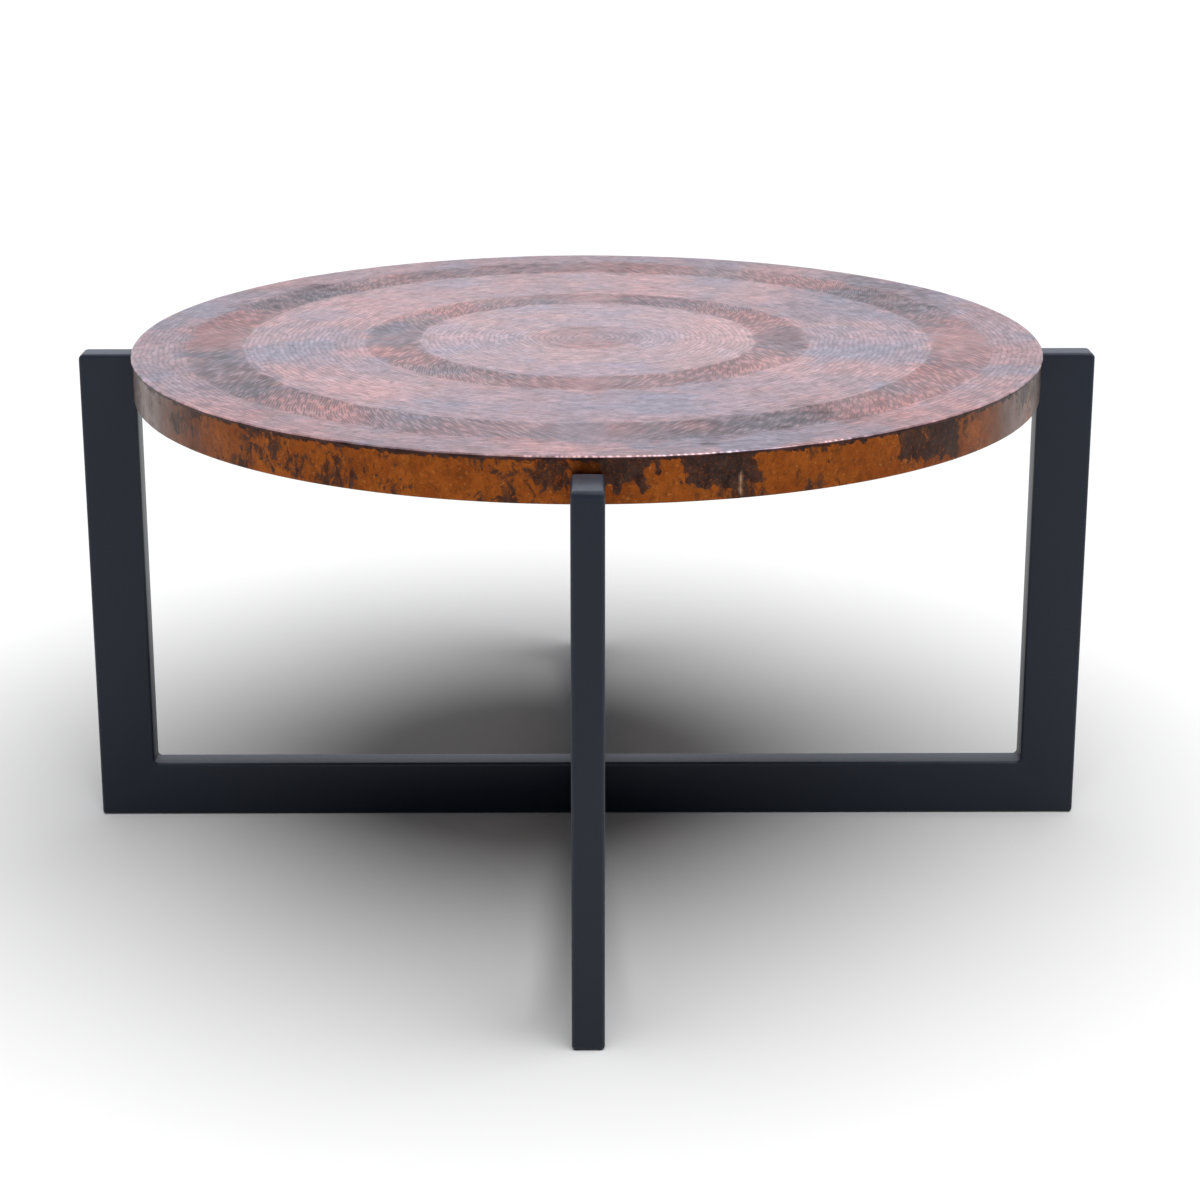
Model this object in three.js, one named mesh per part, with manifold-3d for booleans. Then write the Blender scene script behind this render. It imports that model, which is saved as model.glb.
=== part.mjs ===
// Round coffee table: a hammered copper top, dropped between the four uprights of a crossed steel base.
// Millimetres, +Z up. The origin is on the floor, under the middle of the table, and -Y is the front.

import * as THREE from 'three';
import { mergeVertices } from 'three/addons/utils/BufferGeometryUtils.js';
import Module from 'manifold-3d';

const wasm = await Module();
wasm.setup();

// Clearance left between pieces that are welded, glued or resting on each other.
const GAP = 0.3;

// Base: two U-shaped frames of rectangular steel tube, crossed on the floor. In every member the wide
// side of the tube lies in the plane of its frame.
const SPAN = 914.4;
const UPRIGHT_TOP = 444.5;
const TUBE_WIDE = 50.8;
const TUBE_NARROW = 25.4;
const TUBE_WALL = 2;
const TUBE_CORNER = 3;
const CAP_THICKNESS = 3.2;
const CAP_BEVEL = 0.8;

// Table top: a wooden core with a copper band round its edge and a copper sheet over it. The sheet is
// turned down over the band, and the band is turned in under the core.
const TABLE_HEIGHT = 457.2;
const TOP_THICKNESS = 38.1;
const TOP_RADIUS = 404.8;
const SHEET_THICKNESS = 1;
const SHEET_EDGE_RADIUS = 1.6;
const LIP_DROP = 3.5;
const BAND_THICKNESS = 0.8;
const BAND_FLANGE = 12;
const CORE_CHAMFER = 1;

// The band's lap seam: one end of the strip lies over the other and is soldered down.
const SEAM_BEARING = THREE.MathUtils.degToRad(-74.5);
const SEAM_WIDTH = 14;
const SEAM_STEP = 0.8;
const LIP_NOTCH_WIDTH = 3;

// Supports: a steel tab on the inner face of each upright, with a rubber pad on it.
const TAB_LENGTH = 38.1;
const TAB_WIDTH = 25.4;
const TAB_THICKNESS = 4.8;
const TAB_CORNER = 3;
const PAD_RADIUS = 9;
const PAD_THICKNESS = 3;

// Fineness of round shapes.
const CORNER_SEGMENTS = 4;
const CAP_BEVEL_SEGMENTS = 2;
const PAD_SEGMENTS = 32;
const TOP_SEGMENTS = 144;
const SEAM_SEGMENTS = 4;
const SHEET_EDGE_SEGMENTS = 4;

// Levels and radii that follow from the dimensions above.
const REACH = SPAN / 2;
const INNER_FACE = REACH - TUBE_WIDE;
const UNDERSIDE = TABLE_HEIGHT - TOP_THICKNESS;
const LIP_BOTTOM = TABLE_HEIGHT - LIP_DROP;
const COVERED_LEVEL = TABLE_HEIGHT - SHEET_THICKNESS - GAP;
const LIP_INNER_RADIUS = TOP_RADIUS - SHEET_THICKNESS;
const BAND_RADIUS = LIP_INNER_RADIUS - GAP;
const CORE_RADIUS = BAND_RADIUS - BAND_THICKNESS - GAP;
const CORE_BOTTOM = UNDERSIDE + BAND_THICKNESS + GAP;
const PAD_BOTTOM = CORE_BOTTOM - GAP - PAD_THICKNESS;
const TAB_TOP = PAD_BOTTOM - GAP;
const TAB_END = INNER_FACE - GAP - TAB_LENGTH;
const FLANGE_RADIUS = BAND_RADIUS - BAND_THICKNESS - BAND_FLANGE;

// Finishes.
const BLACK_POWDER_COAT = new THREE.MeshStandardMaterial({ color: 0x24272b, roughness: 0.55, metalness: 0.2 });
const HAMMERED_COPPER = new THREE.MeshStandardMaterial({ color: 0x9c6f68, roughness: 0.38, metalness: 1 });
const FIRED_COPPER = new THREE.MeshStandardMaterial({ color: 0x9a5226, roughness: 0.45, metalness: 1 });
const FIBREBOARD = new THREE.MeshStandardMaterial({ color: 0x524940, roughness: 0.9, metalness: 0 });
const BLACK_RUBBER = new THREE.MeshStandardMaterial({ color: 0x161616, roughness: 0.85, metalness: 0 });

// A mesh with its own copy of a finish, so that each sub-part can be repainted alone.
function part(name, geometry, finish) {
  const mesh = new THREE.Mesh(geometry, finish.clone());
  mesh.name = name;
  return mesh;
}

// Draws a rectangle with round corners, centred on the origin, on a shape or on the path of a hole.
function roundedRectangle(path, width, height, radius) {
  const x = width / 2 - radius;
  const y = height / 2 - radius;
  const quarter = Math.PI / 2;
  path.absarc(x, y, radius, 0, quarter);
  path.absarc(-x, y, radius, quarter, 2 * quarter);
  path.absarc(-x, -y, radius, 2 * quarter, 3 * quarter);
  path.absarc(x, -y, radius, 3 * quarter, 4 * quarter);
  path.closePath();
  return path;
}

// Rectangular tube along +Z with its wide side along X. A mitred end is cut at 45 degrees, so that the
// face at -X keeps the full length.
function tube(length, mitres) {
  const section = roundedRectangle(new THREE.Shape(), TUBE_WIDE, TUBE_NARROW, TUBE_CORNER);
  const bore = roundedRectangle(
    new THREE.Path(),
    TUBE_WIDE - 2 * TUBE_WALL,
    TUBE_NARROW - 2 * TUBE_WALL,
    TUBE_CORNER - TUBE_WALL,
  );
  section.holes.push(bore);
  const geometry = new THREE.ExtrudeGeometry(section, {
    depth: length,
    bevelEnabled: false,
    curveSegments: CORNER_SEGMENTS,
  });
  const position = geometry.attributes.position;
  for (let i = 0; i < position.count; i += 1) {
    const cut = position.getX(i) + TUBE_WIDE / 2;
    const atStart = position.getZ(i) < length / 2;
    if (atStart && mitres.start) position.setZ(i, cut);
    if (!atStart && mitres.end) position.setZ(i, length - cut);
  }
  return geometry;
}

// Upright of the left side: its outer face, the long one, is at -X.
function upright(name) {
  const length = UPRIGHT_TOP - CAP_THICKNESS - 2 * GAP;
  const mesh = part(name, tube(length, { start: true, end: false }), BLACK_POWDER_COAT);
  mesh.position.set(TUBE_WIDE / 2 - REACH, 0, GAP);
  return mesh;
}

// Steel plate that closes the upper end of an upright.
function uprightCap(name) {
  const outline = roundedRectangle(new THREE.Shape(), TUBE_WIDE, TUBE_NARROW, TUBE_CORNER);
  const plate = new THREE.ExtrudeGeometry(outline, {
    depth: CAP_THICKNESS - 2 * CAP_BEVEL,
    bevelThickness: CAP_BEVEL,
    bevelSize: CAP_BEVEL,
    bevelOffset: -CAP_BEVEL,
    bevelSegments: CAP_BEVEL_SEGMENTS,
    curveSegments: CORNER_SEGMENTS,
  });
  const mesh = part(name, plate, BLACK_POWDER_COAT);
  mesh.position.set(TUBE_WIDE / 2 - REACH, 0, UPRIGHT_TOP - CAP_THICKNESS + CAP_BEVEL);
  return mesh;
}

// Tab welded to the inner face of the left upright, and the pad stuck on its upper face.
function supportTab(name) {
  const outline = roundedRectangle(new THREE.Shape(), TAB_LENGTH, TAB_WIDTH, TAB_CORNER);
  const plate = new THREE.ExtrudeGeometry(outline, {
    depth: TAB_THICKNESS,
    bevelEnabled: false,
    curveSegments: CORNER_SEGMENTS,
  });
  const mesh = part(name, plate, BLACK_POWDER_COAT);
  mesh.position.set(-(TAB_END + TAB_LENGTH / 2), 0, TAB_TOP - TAB_THICKNESS);
  return mesh;
}

function supportPad(name) {
  const disc = new THREE.CylinderGeometry(PAD_RADIUS, PAD_RADIUS, PAD_THICKNESS, PAD_SEGMENTS);
  disc.rotateX(Math.PI / 2);
  const mesh = part(name, disc, BLACK_RUBBER);
  mesh.position.set(-(TAB_END + PAD_RADIUS + TAB_CORNER), 0, PAD_BOTTOM + PAD_THICKNESS / 2);
  return mesh;
}

// Floor rail that starts at the left outer face and runs towards +X, with its long face down.
function floorRail(name, length, mitres) {
  const geometry = tube(length, mitres);
  const up = new THREE.Vector3(0, 0, 1);
  const front = new THREE.Vector3(0, -1, 0);
  const along = new THREE.Vector3(1, 0, 0);
  geometry.applyMatrix4(new THREE.Matrix4().makeBasis(up, front, along));
  const mesh = part(name, geometry, BLACK_POWDER_COAT);
  mesh.position.set(-REACH, 0, TUBE_WIDE / 2);
  return mesh;
}

// One side of the base, built as the left side and turned into place.
function baseSide(side, turn) {
  const group = new THREE.Group();
  group.add(upright(`${side}_upright`));
  group.add(uprightCap(`${side}_upright_cap`));
  group.add(supportTab(`${side}_support_tab`));
  group.add(supportPad(`${side}_support_pad`));
  group.rotation.z = turn;
  return group;
}

function base() {
  const group = new THREE.Group();
  const sides = ['left', 'front', 'right', 'rear'];
  sides.forEach((side, i) => group.add(baseSide(side, (i * Math.PI) / 2)));
  group.add(floorRail('through_floor_rail', SPAN, { start: true, end: true }));
  const halfLength = REACH - TUBE_NARROW / 2 - GAP;
  for (const [side, turn] of [['front', Math.PI / 2], ['rear', -Math.PI / 2]]) {
    const half = new THREE.Group();
    half.add(floorRail(`${side}_floor_rail`, halfLength, { start: true, end: false }));
    half.rotation.z = turn;
    group.add(half);
  }
  return group;
}

// Turns a profile of [radius, height] points about the Z axis.
function turned(profile) {
  const points = profile.map(([radius, height]) => new THREE.Vector2(radius, height));
  return new THREE.LatheGeometry(points, TOP_SEGMENTS).rotateX(Math.PI / 2);
}

// Turns a piece's geometry into a solid that can be cut or joined, and such a solid back into geometry.
function solid(geometry) {
  const bare = geometry.clone();
  bare.deleteAttribute('normal');
  bare.deleteAttribute('uv');
  const merged = mergeVertices(bare);
  return new wasm.Manifold(new wasm.Mesh({
    numProp: 3,
    vertProperties: new Float32Array(merged.attributes.position.array),
    triVerts: new Uint32Array(merged.index.array),
  }));
}

function fromSolid(result) {
  const mesh = result.getMesh();
  const geometry = new THREE.BufferGeometry();
  geometry.setAttribute('position', new THREE.BufferAttribute(mesh.vertProperties, 3));
  geometry.setIndex(new THREE.BufferAttribute(mesh.triVerts, 1));
  geometry.computeVertexNormals();
  return geometry;
}

// Piece of a ring round the Z axis, centred on the seam's bearing.
function seamBlock(innerRadius, outerRadius, width, bottom, top) {
  const half = width / (2 * BAND_RADIUS);
  const outline = new THREE.Shape();
  outline.absarc(0, 0, outerRadius, -half, half, false);
  outline.absarc(0, 0, innerRadius, half, -half, true);
  outline.closePath();
  const block = new THREE.ExtrudeGeometry(outline, {
    depth: top - bottom,
    bevelEnabled: false,
    curveSegments: SEAM_SEGMENTS,
  });
  return block.rotateZ(SEAM_BEARING).translate(0, 0, bottom);
}

// Hammered sheet with a rounded edge and a lip turned down over the band. The lip is cut away where
// the seam comes up under it.
function copperTopSheet() {
  const profile = [
    [0, TABLE_HEIGHT - SHEET_THICKNESS],
    [LIP_INNER_RADIUS, TABLE_HEIGHT - SHEET_THICKNESS],
    [LIP_INNER_RADIUS, LIP_BOTTOM],
    [TOP_RADIUS, LIP_BOTTOM],
  ];
  for (let i = 0; i <= SHEET_EDGE_SEGMENTS; i += 1) {
    const angle = (i / SHEET_EDGE_SEGMENTS) * (Math.PI / 2);
    profile.push([
      TOP_RADIUS - SHEET_EDGE_RADIUS * (1 - Math.cos(angle)),
      TABLE_HEIGHT - SHEET_EDGE_RADIUS * (1 - Math.sin(angle)),
    ]);
  }
  profile.push([0, TABLE_HEIGHT]);
  const notch = seamBlock(
    BAND_RADIUS,
    TOP_RADIUS + GAP,
    LIP_NOTCH_WIDTH,
    LIP_BOTTOM - GAP,
    TABLE_HEIGHT - SHEET_EDGE_RADIUS,
  );
  const sheet = solid(turned(profile)).subtract(solid(notch));
  return part('copper_top_sheet', fromSolid(sheet), HAMMERED_COPPER);
}

// Copper strip round the core, turned in under it, with its two ends lapped at the seam.
function copperEdgeBand() {
  const innerRadius = BAND_RADIUS - BAND_THICKNESS;
  const ring = turned([
    [BAND_RADIUS, UNDERSIDE],
    [BAND_RADIUS, COVERED_LEVEL],
    [innerRadius, COVERED_LEVEL],
    [innerRadius, UNDERSIDE + BAND_THICKNESS],
    [FLANGE_RADIUS, UNDERSIDE + BAND_THICKNESS],
    [FLANGE_RADIUS, UNDERSIDE],
    [BAND_RADIUS, UNDERSIDE],
  ]);
  const lap = seamBlock(
    BAND_RADIUS - BAND_THICKNESS / 2,
    BAND_RADIUS + SEAM_STEP,
    SEAM_WIDTH,
    UNDERSIDE,
    LIP_BOTTOM - GAP,
  );
  return part('copper_edge_band', fromSolid(solid(ring).add(solid(lap))), FIRED_COPPER);
}

function topCore() {
  const disc = turned([
    [0, CORE_BOTTOM],
    [CORE_RADIUS - CORE_CHAMFER, CORE_BOTTOM],
    [CORE_RADIUS, CORE_BOTTOM + CORE_CHAMFER],
    [CORE_RADIUS, COVERED_LEVEL],
    [0, COVERED_LEVEL],
  ]);
  return part('top_core', disc, FIBREBOARD);
}

function tableTop() {
  const group = new THREE.Group();
  group.add(topCore());
  group.add(copperEdgeBand());
  group.add(copperTopSheet());
  return group;
}

const table = new THREE.Group();
table.add(base());
table.add(tableTop());

export default table;
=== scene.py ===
import math

import bmesh
import bpy
import numpy as np
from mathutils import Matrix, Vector


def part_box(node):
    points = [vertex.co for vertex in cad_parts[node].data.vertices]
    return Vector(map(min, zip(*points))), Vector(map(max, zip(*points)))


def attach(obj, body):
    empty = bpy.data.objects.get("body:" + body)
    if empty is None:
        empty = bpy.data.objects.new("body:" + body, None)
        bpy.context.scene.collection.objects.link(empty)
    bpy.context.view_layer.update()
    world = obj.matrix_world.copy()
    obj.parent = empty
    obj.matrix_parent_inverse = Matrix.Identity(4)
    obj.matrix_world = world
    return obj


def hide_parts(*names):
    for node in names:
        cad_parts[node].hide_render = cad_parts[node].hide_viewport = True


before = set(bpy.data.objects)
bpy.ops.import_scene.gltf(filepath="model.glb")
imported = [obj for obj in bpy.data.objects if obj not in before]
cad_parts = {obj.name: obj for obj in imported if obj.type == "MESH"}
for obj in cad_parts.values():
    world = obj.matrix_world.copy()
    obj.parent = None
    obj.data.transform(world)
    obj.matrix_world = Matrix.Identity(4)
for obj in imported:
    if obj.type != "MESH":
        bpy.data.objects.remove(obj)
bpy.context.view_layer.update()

# Lengths in this script are millimetres, and become metres in finish_piece.
MM = 0.001


def mm_box(node):
    low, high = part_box(node)
    return np.array(low) / MM, np.array(high) / MM


# ---------------- sizes, read from the frame

THROUGH_LOW, THROUGH_HIGH = mm_box("through_floor_rail")
REACH = THROUGH_HIGH[0]
HALF_NARROW = THROUGH_HIGH[1]
TUBE_WIDE = THROUGH_HIGH[2] - THROUGH_LOW[2]
CAP_LOW, CAP_HIGH = mm_box("left_upright_cap")
CAP_LEVEL, UPRIGHT_TOP = CAP_LOW[2], CAP_HIGH[2]
SHEET_LOW, SHEET_HIGH = mm_box("copper_top_sheet")
TABLE_HEIGHT, TOP_RADIUS, LIP_BOTTOM = SHEET_HIGH[2], SHEET_HIGH[1], SHEET_LOW[2]
BAND_LOW, BAND_HIGH = mm_box("copper_edge_band")
UNDERSIDE, BAND_TOP, BAND_RADIUS = BAND_LOW[2], BAND_HIGH[2], BAND_HIGH[1]

SIDES = ("left", "front", "right", "rear")


# ---------------- seeded noise

class Noise:
    """Smooth value noise in two dimensions, the same on every run."""

    def __init__(self, seed):
        self.table = np.random.default_rng(seed).random(8192) * 2 - 1

    def corner(self, i, j):
        return self.table[(i * 73856093 ^ j * 19349663) & 8191]

    def __call__(self, x, y):
        i, j = np.floor(x).astype(np.int64), np.floor(y).astype(np.int64)
        u, v = x - i, y - j
        u, v = u * u * (3 - 2 * u), v * v * (3 - 2 * v)
        low = self.corner(i, j) * (1 - u) + self.corner(i + 1, j) * u
        high = self.corner(i, j + 1) * (1 - u) + self.corner(i + 1, j + 1) * u
        return low * (1 - v) + high * v

    def fractal(self, x, y, octaves=4, gain=0.5):
        total, size = 0.0, 1.0
        for octave in range(octaves):
            total = total + size * self(x * 2**octave + 17.3 * octave, y * 2**octave)
            size *= gain
        return total


def smooth(low, high, x):
    t = np.clip((x - low) / (high - low), 0, 1)
    return t * t * (3 - 2 * t)


# ---------------- node graphs

def put(tree, socket, value):
    """Links an input to an output, or sets it to a number, vector or colour."""
    if isinstance(value, bpy.types.NodeSocket):
        tree.links.new(value, socket)
    elif isinstance(value, tuple) and len(value) == 3 and socket.type == "RGBA":
        socket.default_value = (*value, 1)
    else:
        socket.default_value = value


def new_node(tree, kind, *inputs, **settings):
    """A new node whose first inputs are linked or set."""
    made = tree.nodes.new(kind)
    for key, value in settings.items():
        setattr(made, key, value)
    for socket, value in zip(made.inputs, inputs):
        put(tree, socket, value)
    return made


class Graph:
    """A Principled material and short ways to add nodes to it."""

    def __init__(self, name):
        self.material = bpy.data.materials.new(name)
        self.material.use_nodes = True
        self.tree = self.material.node_tree
        self.shader = self.tree.nodes["Principled BSDF"]

    def node(self, kind, *inputs, **settings):
        return new_node(self.tree, kind, *inputs, **settings)

    def put(self, socket, value):
        put(self.tree, socket, value)

    def set(self, name, value):
        self.put(self.shader.inputs[name], value)

    def place(self, stretch=(1, 1, 1)):
        """Position in the object's own space, which is the frame's, in metres."""
        where = self.node("ShaderNodeTexCoord")
        mapping = self.node("ShaderNodeMapping")
        mapping.inputs["Scale"].default_value = stretch
        self.tree.links.new(where.outputs["Object"], mapping.inputs["Vector"])
        return mapping.outputs["Vector"]

    def noise(self, size, detail=3.0, rough=0.55, distort=0.0, stretch=(1, 1, 1)):
        """Noise whose features are about `size` millimetres across, from 0 to 1."""
        made = self.node("ShaderNodeTexNoise")
        made.inputs["Scale"].default_value = 1000 / size
        made.inputs["Detail"].default_value = detail
        made.inputs["Roughness"].default_value = rough
        made.inputs["Distortion"].default_value = distort
        self.put(made.inputs["Vector"], self.place(stretch))
        return made.outputs["Fac"]

    def attribute(self, name, colour=False):
        made = self.node("ShaderNodeAttribute", attribute_name=name)
        return made.outputs["Color" if colour else "Fac"]

    def split(self, colour):
        return self.node("ShaderNodeSeparateColor", colour).outputs[:3]

    def mix(self, factor, a, b, mode="MIX"):
        made = self.node("ShaderNodeMix", data_type="RGBA", blend_type=mode)
        self.put(made.inputs[0], factor)
        self.put(made.inputs[6], a)
        self.put(made.inputs[7], b)
        return made.outputs[2]

    def math(self, operation, a, b=0.0, clamp=False):
        made = self.node("ShaderNodeMath", a, b, operation=operation, use_clamp=clamp)
        return made.outputs[0]

    def span(self, value, low, high, to_low=0.0, to_high=1.0):
        return self.node("ShaderNodeMapRange", value, low, high, to_low, to_high).outputs[0]

    def bump(self, height, depth, under=None):
        """Normal of a relief whose `height` runs from 0 to 1, `depth` millimetres deep."""
        made = self.node("ShaderNodeBump")
        made.inputs["Distance"].default_value = depth * MM
        self.put(made.inputs["Height"], height)
        if under is not None:
            self.put(made.inputs["Normal"], under)
        return made.outputs["Normal"]


# ---------------- meshes

def finish_piece(mesh, name, body, material, slot, *nodes, sharp=35):
    """Turns a mesh in millimetres into a piece of the model."""
    mesh.name = name
    coordinates = np.empty(len(mesh.vertices) * 3, np.float32)
    mesh.vertices.foreach_get("co", coordinates)
    mesh.vertices.foreach_set("co", coordinates * MM)
    mesh.materials.append(material)
    mesh.shade_smooth()
    mesh.set_sharp_from_angle(angle=math.radians(sharp))
    mesh.update()
    piece = bpy.data.objects.new(name, mesh)
    bpy.context.scene.collection.objects.link(piece)
    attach(piece, body)
    if nodes:
        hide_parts(*nodes)
    return piece


def mesh_of(points, faces):
    mesh = bpy.data.meshes.new("piece")
    mesh.from_pydata(points, [], faces)
    mesh.update()
    return mesh


def ring_faces(first, count, second, other):
    """Faces between two rings of vertices, which may have different numbers of vertices."""
    if count == other:
        k = np.arange(count)
        n = (k + 1) % count
        return np.stack([first + k, first + n, second + n, second + k], 1).tolist()
    a, b = np.arange(1, count + 1) / count, np.arange(1, other + 1) / other
    inner = np.searchsorted(b, a, side="left")
    outer = np.searchsorted(a, b, side="right")
    k = np.arange(count)
    low = np.stack([first + k, first + (k + 1) % count, second + inner % other], 1)
    j = np.arange(other)
    high = np.stack([second + (j + 1) % other, second + j, first + outer % count], 1)
    return low.tolist() + high.tolist()


def float_attribute(mesh, name, values):
    layer = mesh.attributes.new(name, "FLOAT", "POINT")
    layer.data.foreach_set("value", np.asarray(values, np.float32).ravel())


def colour_attribute(mesh, name, values):
    layer = mesh.attributes.new(name, "FLOAT_COLOR", "POINT")
    rgba = np.ones((len(values), 4), np.float32)
    rgba[:, :3] = values
    layer.data.foreach_set("color", rgba.ravel())


# ---------------- materials

def powder_coat():
    g = Graph("black_powder_coat")
    wear = g.attribute("wear")
    cloud = g.noise(40, detail=3)
    speck = g.noise(0.9, detail=2)
    base = g.mix(cloud, (0.0044, 0.0086, 0.0185), (0.0052, 0.0096, 0.0205))
    base = g.mix(g.span(speck, 0.35, 0.75, 0.0, 0.8), base, (0.0110, 0.0165, 0.0280))
    rubbed = g.span(g.noise(24, detail=3), 0.30, 0.75, 0.15, 0.75)
    rub = g.math("MULTIPLY", wear, rubbed, clamp=True)
    base = g.mix(rub, base, (0.020, 0.026, 0.037))
    # Thin dust on the faces that point up, with a painted sheen: its light bluish colour stands in for
    # the sky mirrored in them.
    normal = g.node("ShaderNodeTexCoord").outputs["Normal"]
    facing = g.node("ShaderNodeSeparateXYZ", normal)
    upward = g.span(facing.outputs["Z"], 0.55, 0.98)
    uneven = g.span(g.noise(7, detail=4, rough=0.65), 0.25, 0.75, 0.55, 1.0)
    dust_and_sheen = g.math("MULTIPLY", upward, uneven)
    g.set("Base Color", g.mix(dust_and_sheen, base, (0.050, 0.056, 0.072)))
    rough = g.span(g.noise(45, detail=2), 0.3, 0.7, 0.425, 0.440)
    rough = g.math("ADD", rough, g.span(speck, 0.3, 0.7, -0.03, 0.04))
    rough = g.math("ADD", rough, g.math("MULTIPLY", dust_and_sheen, 0.06))
    g.set("Roughness", g.math("SUBTRACT", rough, g.math("MULTIPLY", rub, 0.06)))
    g.set("Metallic", 0.0)
    g.set("Specular IOR Level", 0.11)
    g.set("Coat Weight", 0.34)
    g.set("Coat Roughness", 0.26)
    peel = g.bump(g.noise(2.8, detail=1), 0.045)
    g.set("Normal", g.bump(speck, 0.015, peel))
    return g.material


def rubber():
    g = Graph("black_rubber")
    grain = g.noise(0.8, detail=3)
    g.set("Base Color", g.mix(grain, (0.010, 0.010, 0.010), (0.026, 0.026, 0.027)))
    g.set("Roughness", g.span(g.noise(6), 0.3, 0.7, 0.72, 0.88))
    g.set("Normal", g.bump(grain, 0.08))
    return g.material


def fibreboard():
    g = Graph("stained_fibreboard")
    fibres = g.noise(3.0, detail=6, rough=0.7, stretch=(1, 0.35, 1))
    cloud = g.noise(90, detail=4)
    base = g.mix(fibres, (0.058, 0.044, 0.034), (0.120, 0.094, 0.074))
    base = g.mix(g.span(cloud, 0.35, 0.65, 0, 0.70), base, (0.038, 0.030, 0.025))
    brushed = g.noise(13, detail=5, rough=0.65, stretch=(0.06, 1, 1))
    base = g.mix(g.span(brushed, 0.40, 0.66, 0, 0.60), base, (0.150, 0.118, 0.090))
    g.set("Base Color", base)
    g.set("Roughness", g.span(fibres, 0.3, 0.7, 0.82, 0.95))
    g.set("Normal", g.bump(g.noise(0.7, detail=3), 0.12))
    return g.material


# Colours of the hammered sheet, each in the light zones and in the dark rings.
COPPER = (0.470, 0.275, 0.256), (0.305, 0.136, 0.122)
PALE_COPPER = (0.390, 0.276, 0.288), (0.250, 0.143, 0.140)
ROSE = (0.585, 0.325, 0.296), (0.405, 0.153, 0.130)
SLATE = (0.318, 0.262, 0.314), (0.190, 0.146, 0.160)
SOOT = (0.170, 0.120, 0.130), (0.066, 0.032, 0.030)


def hammered_copper():
    g = Graph("fired_hammered_copper")
    ring = g.attribute("ring")
    mark = g.attribute("mark")
    rose, slate, soot = g.split(g.attribute("patina", colour=True))
    cloud = g.noise(60, detail=3, rough=0.5, distort=0.5)
    fleck = g.noise(2.6, detail=3, rough=0.65)

    base = g.mix(g.span(cloud, 0.36, 0.64, 0.0, 0.55), g.mix(ring, *COPPER), g.mix(ring, *PALE_COPPER))
    uneven = g.span(fleck, 0.25, 0.60, 0.88, 1.0)
    for amount, colours in ((rose, ROSE), (slate, SLATE), (soot, SOOT)):
        base = g.mix(g.math("MULTIPLY", amount, uneven), base, g.mix(ring, *colours))
    shallow = g.math("MULTIPLY", mark, g.span(ring, 0.0, 1.0, 0.86, 1.15))
    tone = g.math("ADD", shallow, g.span(ring, 0.0, 1.0, 0.46, 0.42))
    tone = g.math("MULTIPLY", tone, g.span(fleck, 0.28, 0.72, 0.84, 1.16))
    g.set("Base Color", g.mix(1.0, base, tone, mode="MULTIPLY"))

    rough = g.span(g.noise(12, detail=4), 0.3, 0.7, 0.25, 0.35)
    rough = g.math("ADD", rough, g.math("MULTIPLY", ring, 0.05))
    g.set("Roughness", g.math("ADD", rough, g.math("MULTIPLY", soot, 0.12)))
    g.set("Metallic", 1.0)
    g.set("Normal", g.bump(g.noise(1.5, detail=3, rough=0.6), 0.05))
    return g.material


def edge_copper():
    g = Graph("fired_edge_copper")
    dark_patch_and_lip_shade = g.attribute("dark_patch_and_lip_shade")
    painted_limb_reflection = g.attribute("painted_limb_reflection")
    ragged = g.noise(6.5, detail=7, rough=0.70, distort=0.9, stretch=(1, 1, 0.6))
    cloud = g.noise(26, detail=5, rough=0.6)
    mottle = g.noise(6, detail=6, rough=0.72, distort=0.6, stretch=(1, 1, 0.7))
    fleck = g.noise(1.9, detail=4, rough=0.7)
    base = g.mix(g.span(cloud, 0.30, 0.70), (0.312, 0.085, 0.014), (0.198, 0.046, 0.009))
    base = g.mix(g.span(mottle, 0.46, 0.66, 0, 0.75), base, (0.110, 0.032, 0.009))
    base = g.mix(g.span(fleck, 0.52, 0.72, 0, 0.45), base, (0.060, 0.026, 0.012))
    gold = g.span(g.noise(3.4, detail=3, rough=0.6), 0.60, 0.72, 0.0, 0.55)
    base = g.mix(gold, base, (0.420, 0.170, 0.045))
    # Painted reflection: paler grey towards the band's sides.
    base = g.mix(painted_limb_reflection, base, (0.150, 0.106, 0.098))
    # Painted shade: darker towards the band's sides.
    base = g.mix(g.attribute("deep"), base, (0.045, 0.018, 0.010))
    # The dark patches carry the painted shade under the sheet's lip as well.
    edge = g.math("ADD", dark_patch_and_lip_shade, g.math("MULTIPLY", g.math("SUBTRACT", ragged, 0.5), 1.5))
    dark = g.math("MULTIPLY", g.span(edge, 0.40, 0.56), g.span(edge, 0.40, 1.10, 0.80, 1.0))
    chips = g.span(g.noise(3.0, detail=5, rough=0.7), 0.56, 0.68, 1.0, 0.30)
    dark = g.math("MULTIPLY", dark, chips)
    scale = g.mix(g.span(mottle, 0.35, 0.65), (0.016, 0.011, 0.011), (0.062, 0.036, 0.029))
    base = g.mix(dark, base, scale)
    base = g.mix(g.attribute("solder"), base, (0.460, 0.270, 0.160))
    g.set("Base Color", base)
    rough = g.span(g.noise(14, detail=4), 0.3, 0.7, 0.26, 0.38)
    g.set("Roughness", g.math("ADD", rough, g.math("MULTIPLY", dark, 0.12)))
    g.set("Metallic", 1.0)
    g.set("Normal", g.bump(fleck, 0.04))
    return g.material


# ---------------- steel base

EDGE_RADIUS = 3.0
EDGE_STEPS = 5
CORNER_STEPS = 6
CORNER_WEAR = 0.8
OUTER_TOP_RADIUS = 5.0
INNER_TOP_RADIUS = 3.4
FOOT_RADIUS = 3.5
WELD_FILLET = 4.0


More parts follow.
